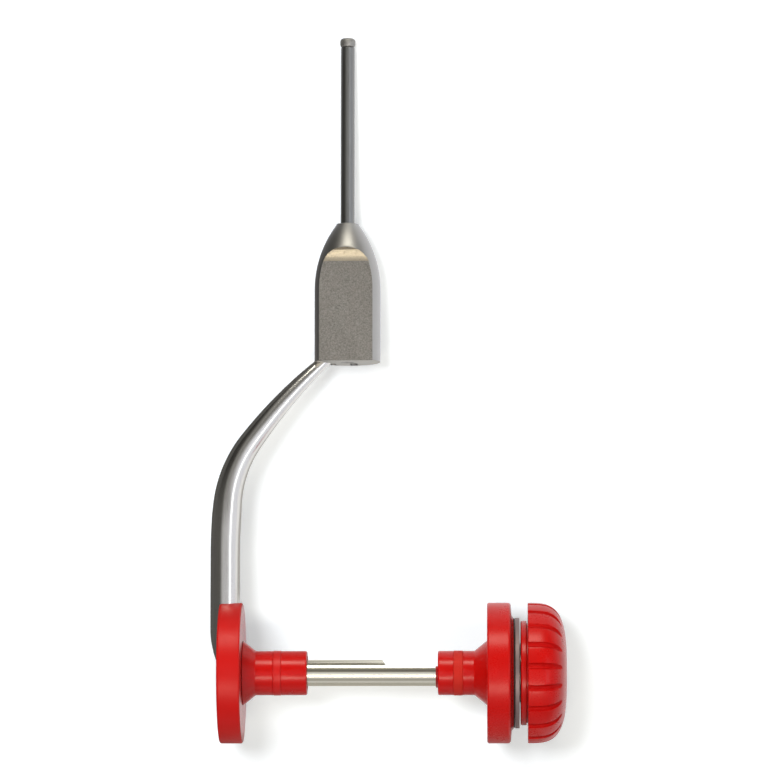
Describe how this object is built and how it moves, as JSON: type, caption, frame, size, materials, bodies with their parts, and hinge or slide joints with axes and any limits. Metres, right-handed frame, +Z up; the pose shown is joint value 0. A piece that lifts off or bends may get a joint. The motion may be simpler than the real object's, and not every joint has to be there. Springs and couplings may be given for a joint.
{
  "type": "bobbin holder for fly tying",
  "caption": "Fly-tying bobbin holder: thread tube and bullet body on a bent arm, a cross shaft with two spool hubs, and a sliding drag unit with a ribbed knob.",
  "frame": {"origin": "middle of the outline, on the table that the holder lies on", "axes": "+Z up from the table, +Y the way the thread tube points along the table, +X along the spool axis toward the adjusting knob"},
  "size_m": [0.0594, 0.1184, 0.0235],
  "materials": {
    "thread_tube": "dark grey satin tube",
    "tip_ring": "grey-beige ceramic, slightly glossy",
    "entry_eyelet": "grey-beige ceramic",
    "handle_body": "satin steel with a bead-dull milled flat",
    "arm": "polished steel, fine long grain",
    "guard_disc": "red moulded plastic, satin",
    "shaft": "bright nickel plate",
    "shaft_screw": "turned steel",
    "left_washer": "natural nylon",
    "left_clip": "spring steel",
    "left_hub": "red moulded plastic",
    "left_grip_ring": "red rubber, dull",
    "key_nose": "dark red moulded plastic",
    "slide_tube": "turned brass",
    "leaf_spring": "spring steel strip",
    "pressure_disc": "stamped steel",
    "stop_clip": "spring steel",
    "right_hub": "red moulded plastic",
    "right_grip_ring": "red rubber, dull",
    "friction_disc": "dark fibre",
    "drag_spring": "spring steel wire",
    "spring_seat": "stamped steel",
    "adjusting_knob": "red moulded plastic, ribbed",
    "knob_nut": "turned brass",
    "knob_cap": "red moulded plastic"
  },
  "bodies": {
    "holder": {"thread_tube": "thread_tube", "tip_ring": "tip_ring", "entry_eyelet": "entry_eyelet", "handle_body": "handle_body", "arm": "arm", "guard_disc": "guard_disc", "shaft": "shaft", "shaft_screw": "shaft_screw", "left_washer": "left_washer", "left_clip": "left_clip"},
    "left_hub": {"left_hub": "left_hub", "left_grip_ring": "left_grip_ring"},
    "drag_slide": {"key_nose": "key_nose", "slide_tube": "slide_tube", "leaf_spring": "leaf_spring", "pressure_disc": "pressure_disc", "stop_clip": "stop_clip"},
    "right_hub": {"right_hub": "right_hub", "right_grip_ring": "right_grip_ring", "friction_disc": "friction_disc"},
    "spring_seat": {"spring_seat": "spring_seat", "drag_spring": "drag_spring"},
    "knob": {"adjusting_knob": "adjusting_knob", "knob_nut": "knob_nut", "knob_cap": "knob_cap"}
  },
  "joints": [
    {"name": "left_hub_spin", "type": "hinge", "parent": "holder", "child": "left_hub", "pos_m": [-0.00687, -0.04754, 0.0117], "axis": [1, 0, 0], "continuous": true},
    {"name": "drag_unit_slide", "type": "slide", "parent": "holder", "child": "drag_slide", "axis": [1, 0, 0], "range_m": [-0.0084, 0.03]},
    {"name": "right_hub_spin", "type": "hinge", "parent": "drag_slide", "child": "right_hub", "pos_m": [-0.00687, -0.04754, 0.0117], "axis": [1, 0, 0], "continuous": true},
    {"name": "knob_travel", "type": "slide", "parent": "drag_slide", "child": "spring_seat", "axis": [1, 0, 0], "range_m": [-0.00015, 0.00105], "deforming": ["drag_spring"]},
    {"name": "knob_turn", "type": "hinge", "parent": "spring_seat", "child": "knob", "pos_m": [-0.00687, -0.04754, 0.0117], "axis": [1, 0, 0], "range_deg": [-70, 500]}
  ],
  "couplings": [
    {"joint": "knob_travel", "follows": "knob_turn", "m_per_rad": 0.00011937}
  ]
}
